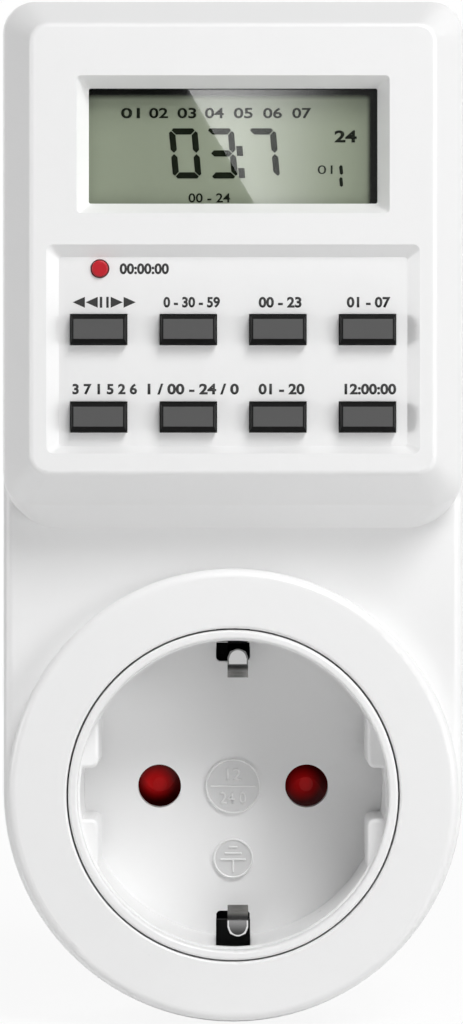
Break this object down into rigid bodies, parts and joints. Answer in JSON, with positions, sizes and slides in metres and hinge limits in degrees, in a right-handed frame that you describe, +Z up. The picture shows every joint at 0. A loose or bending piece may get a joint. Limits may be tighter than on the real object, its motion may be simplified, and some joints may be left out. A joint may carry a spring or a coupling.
{
  "type": "digital plug-in timer",
  "caption": "Plug-in timer with a round earthed socket below a raised pod holding a grey display, keys and a reset button; plug on the back.",
  "frame": {"origin": "centre of the plug's engagement face, on the axis of plug and socket", "axes": "+Z up along the housing, +Y out of the plug's face into the wall, +X to the viewer's right"},
  "size_m": [0.058, 0.073, 0.1287],
  "materials": {
    "white_housing": "satin moulded plastic",
    "white_socket": "satin moulded plastic",
    "red_plastic": "gloss moulded plastic",
    "carrier_plastic": "plain moulded plastic",
    "spring_steel": "bright wire",
    "nickel_strip": "nickel plated strip",
    "board_laminate": "glass laminate with green mask",
    "clear_window": "clear polished plastic",
    "display_glass": "grey-green liquid crystal cell",
    "frame_plastic": "plain moulded plastic",
    "zebra_rubber": "striped silicone",
    "component_black": "moulded epoxy",
    "keypad_silicone": "moulded silicone",
    "relay_housing": "moulded plastic",
    "capacitor_yellow": "moulded box",
    "capacitor_sleeve": "shrunk sleeve",
    "varistor_coat": "dipped coating",
    "resistor_body": "lacquered body",
    "solder": "solder",
    "battery_can": "nickel plated can",
    "ribbon": "ribbon insulation",
    "screw_steel": "zinc plated",
    "contact_brass": "spring brass",
    "pin_nickel": "nickel plated brass",
    "copper_bar": "copper strip",
    "grey_keys": "satin moulded plastic"
  },
  "bodies": {
    "housing": {"front_case": "white_housing", "rear_case": "white_housing", "socket_insert": "white_socket", "shutter_carrier": "carrier_plastic", "shutter_spring": "spring_steel", "plug_earth_strip": "nickel_strip", "socket_earth_spring": "nickel_strip", "power_board": "board_laminate", "control_board": "board_laminate", "display_window": "clear_window", "lcd_glass": "display_glass", "lcd_frame": "frame_plastic", "zebra_connectors": "zebra_rubber", "reset_switch": "component_black", "keypad_mat": "keypad_silicone", "relay": "relay_housing", "film_capacitor": "capacitor_yellow", "smoothing_capacitor": "capacitor_sleeve", "varistor": "varistor_coat", "fuse_resistor": "resistor_body", "regulator_chips": "component_black", "terminal_joints": "solder", "backup_battery": "battery_can", "battery_clip": "nickel_strip", "controller_chip": "component_black", "crystal": "battery_can", "board_link": "ribbon", "case_screws": "screw_steel", "board_screws": "screw_steel", "socket_contact_live": "contact_brass", "socket_contact_neutral": "contact_brass", "plug_pin_live": "pin_nickel", "plug_pin_neutral": "pin_nickel", "live_bar": "copper_bar", "switched_bar": "copper_bar", "neutral_bar": "copper_bar"},
    "clock_key": {"clock_key": "grey_keys"},
    "timer_key": {"timer_key": "grey_keys"},
    "mode_key": {"mode_key": "grey_keys"},
    "random_key": {"random_key": "grey_keys"},
    "week_key": {"week_key": "grey_keys"},
    "hour_key": {"hour_key": "grey_keys"},
    "minute_key": {"minute_key": "grey_keys"},
    "recall_key": {"recall_key": "grey_keys"},
    "reset_button": {"reset_button": "red_plastic"},
    "shutter": {"shutter": "red_plastic"}
  },
  "joints": [
    {"name": "clock_key_press", "type": "slide", "parent": "housing", "child": "clock_key", "axis": [0, 1, 0], "range_m": [0, 0.0008], "stiffness_N_per_m": 350, "deforming": ["keypad_mat"]},
    {"name": "timer_key_press", "type": "slide", "parent": "housing", "child": "timer_key", "axis": [0, 1, 0], "range_m": [0, 0.0008], "stiffness_N_per_m": 350, "deforming": ["keypad_mat"]},
    {"name": "mode_key_press", "type": "slide", "parent": "housing", "child": "mode_key", "axis": [0, 1, 0], "range_m": [0, 0.0008], "stiffness_N_per_m": 350, "deforming": ["keypad_mat"]},
    {"name": "random_key_press", "type": "slide", "parent": "housing", "child": "random_key", "axis": [0, 1, 0], "range_m": [0, 0.0008], "stiffness_N_per_m": 350, "deforming": ["keypad_mat"]},
    {"name": "week_key_press", "type": "slide", "parent": "housing", "child": "week_key", "axis": [0, 1, 0], "range_m": [0, 0.0008], "stiffness_N_per_m": 350, "deforming": ["keypad_mat"]},
    {"name": "hour_key_press", "type": "slide", "parent": "housing", "child": "hour_key", "axis": [0, 1, 0], "range_m": [0, 0.0008], "stiffness_N_per_m": 350, "deforming": ["keypad_mat"]},
    {"name": "minute_key_press", "type": "slide", "parent": "housing", "child": "minute_key", "axis": [0, 1, 0], "range_m": [0, 0.0008], "stiffness_N_per_m": 350, "deforming": ["keypad_mat"]},
    {"name": "recall_key_press", "type": "slide", "parent": "housing", "child": "recall_key", "axis": [0, 1, 0], "range_m": [0, 0.0008], "stiffness_N_per_m": 350, "deforming": ["keypad_mat"]},
    {"name": "reset_press", "type": "slide", "parent": "housing", "child": "reset_button", "axis": [0, 1, 0], "range_m": [0, 0.0006], "stiffness_N_per_m": 300},
    {"name": "shutter_turn", "type": "hinge", "parent": "housing", "child": "shutter", "pos_m": [0, -0.02585, 0], "axis": [0, 1, 0], "range_deg": [0, 40], "stiffness_Nm_per_rad": 0.002, "deforming": ["shutter_spring"]}
  ]
}
